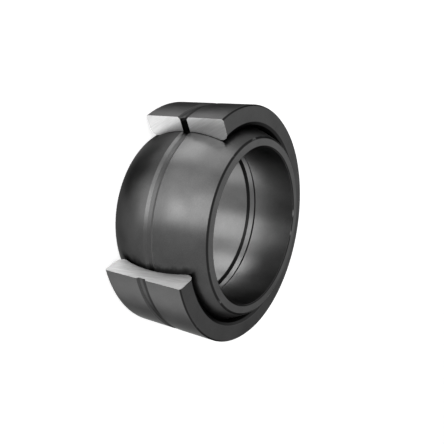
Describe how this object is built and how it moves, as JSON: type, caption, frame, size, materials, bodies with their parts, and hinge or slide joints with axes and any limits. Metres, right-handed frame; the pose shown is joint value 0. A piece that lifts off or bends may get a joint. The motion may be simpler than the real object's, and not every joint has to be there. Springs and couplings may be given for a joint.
{
  "type": "spherical plain bearing",
  "caption": "Steel spherical plain bearing: a ball ring with a shaft bore swivels in a grooved outer ring with a sector sawn out.",
  "frame": {"origin": "centre of the sphere, on the bore's axis, halfway between the end faces", "axes": "+Z along the bore; the window of the outer ring faces -Y; the bearing lies on the inner ring's -Z end face"},
  "size_m": [0.12, 0.1124, 0.055],
  "materials": {
    "ball_steel": "dark phosphated, turned",
    "ring_steel": "dark phosphated, with bare ground saw cuts"
  },
  "bodies": {
    "inner_ring": {"inner_ring": "ball_steel"},
    "outer_ring": {"outer_ring": "ring_steel"}
  },
  "joints": [
    {"name": "ring_tilt", "type": "hinge", "parent": "inner_ring", "child": "outer_ring", "pos_m": [0, 0, 0], "axis": [0, 1, 0], "range_deg": [-6, 6]}
  ]
}
